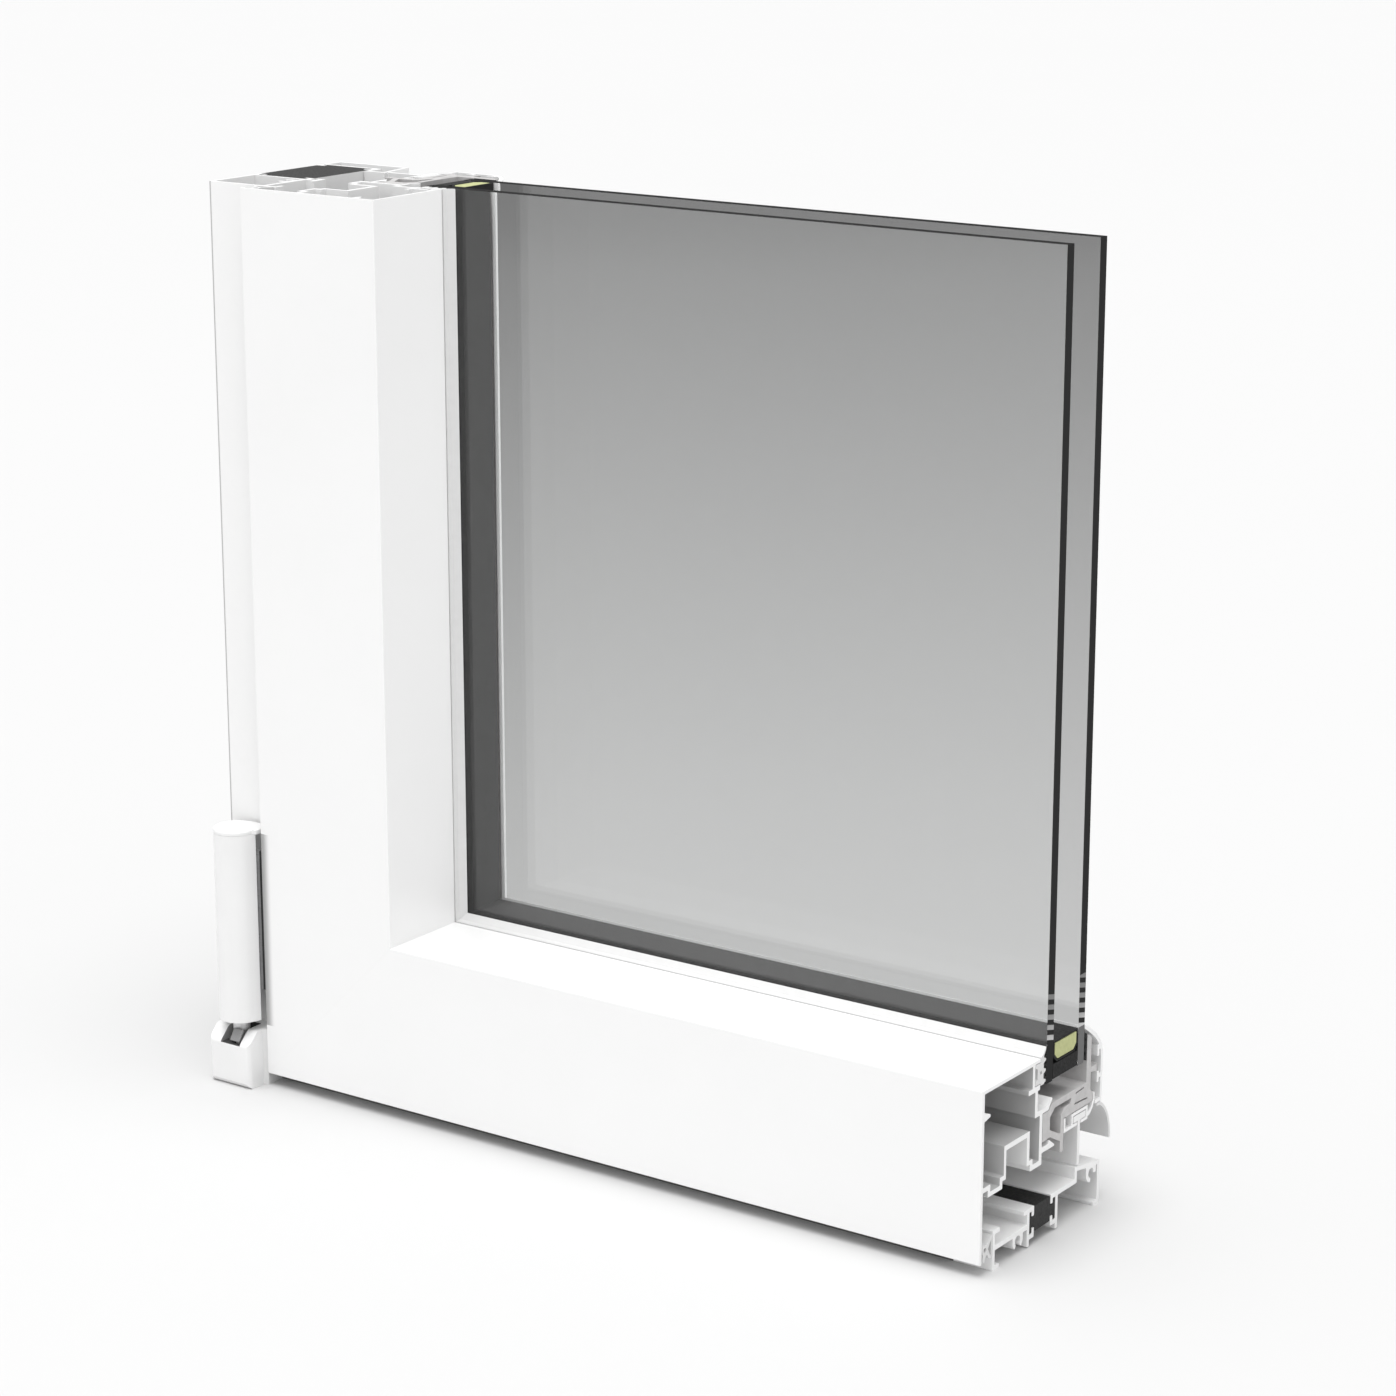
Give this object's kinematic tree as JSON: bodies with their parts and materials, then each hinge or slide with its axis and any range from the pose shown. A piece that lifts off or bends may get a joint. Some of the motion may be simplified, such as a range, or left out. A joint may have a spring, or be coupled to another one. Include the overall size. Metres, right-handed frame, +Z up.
{
  "type": "casement window corner",
  "caption": "Corner of an inward-opening casement window: white thermally broken aluminium frame, double-glazed sash and tilt-and-turn corner hinge, cut square at top and right.",
  "frame": {"origin": "centre of the bounding box in plan, on the plane of the sill's lowest edge, which it stands on", "axes": "+Z up; +X along the sill from the hinge side to the cut end; +Y from the room side to the weather side"},
  "size_m": [0.3116, 0.091, 0.3155],
  "materials": {
    "white_lacquer": "satin powder coat",
    "white_plastic": "satin",
    "polyamide": "matte",
    "thermal_foam": "cellular foam",
    "black_rubber": "matte",
    "white_rubber": "matte",
    "desiccant": "granular",
    "glass": "clear float",
    "steel": "satin",
    "dark_plastic": "satin",
    "bare_aluminium": "mill"
  },
  "bodies": {
    "fixed_frame": {"frame_inner_sill": "white_lacquer", "frame_inner_jamb": "white_lacquer", "thermal_break_sill": "thermal_foam", "thermal_break_jamb": "thermal_foam", "frame_outer_sill": "white_lacquer", "frame_outer_jamb": "white_lacquer", "interior_gasket_sill": "white_rubber", "interior_gasket_jamb_lower": "white_rubber", "interior_gasket_jamb": "white_rubber", "frame_corner_key": "bare_aluminium", "hinge_block": "white_plastic", "hinge_socket": "dark_plastic", "hinge_block_screw_1": "steel", "hinge_block_screw_2": "steel"},
    "pivot": {"hinge_pin": "steel"},
    "opening_sash": {"sash_rail": "white_lacquer", "sash_stile": "white_lacquer", "inner_glazing_gasket_rail": "white_rubber", "inner_glazing_gasket_stile": "white_rubber", "glass_carrier_rail": "polyamide", "glass_carrier_stile": "polyamide", "outer_cover_rail": "white_lacquer", "outer_cover_stile": "white_lacquer", "rain_drip": "white_lacquer", "weather_bar_rail": "white_lacquer", "weather_bar_stile": "white_lacquer", "seal_fin_rail": "white_plastic", "seal_fin_stile": "white_plastic", "outer_glazing_gasket_rail": "black_rubber", "outer_glazing_gasket_stile": "black_rubber", "glass_inner_pane": "glass", "glass_outer_pane": "glass", "spacer_rail": "black_rubber", "spacer_stile": "black_rubber", "desiccant_rail": "desiccant", "desiccant_stile": "desiccant", "edge_sealant_rail": "black_rubber", "edge_sealant_stile": "black_rubber", "setting_block_rail": "dark_plastic", "setting_block_stile": "dark_plastic", "sash_corner_cleat": "bare_aluminium", "hinge_bush": "dark_plastic", "hinge_leaf": "steel", "hinge_cover": "white_plastic", "hinge_cap": "white_plastic", "hinge_clamp_block": "bare_aluminium", "hinge_clamp_screw_1": "steel", "hinge_clamp_screw_2": "steel"}
  },
  "joints": [
    {"name": "tilt", "type": "hinge", "parent": "fixed_frame", "child": "pivot", "pos_m": [-0.14545, -0.0377, 0.0075], "axis": [1, 0, 0], "range_deg": [0, 8]},
    {"name": "turn", "type": "hinge", "parent": "pivot", "child": "opening_sash", "pos_m": [-0.14545, -0.0377, 0.0445], "axis": [0, 0, -1], "range_deg": [0, 90]}
  ]
}
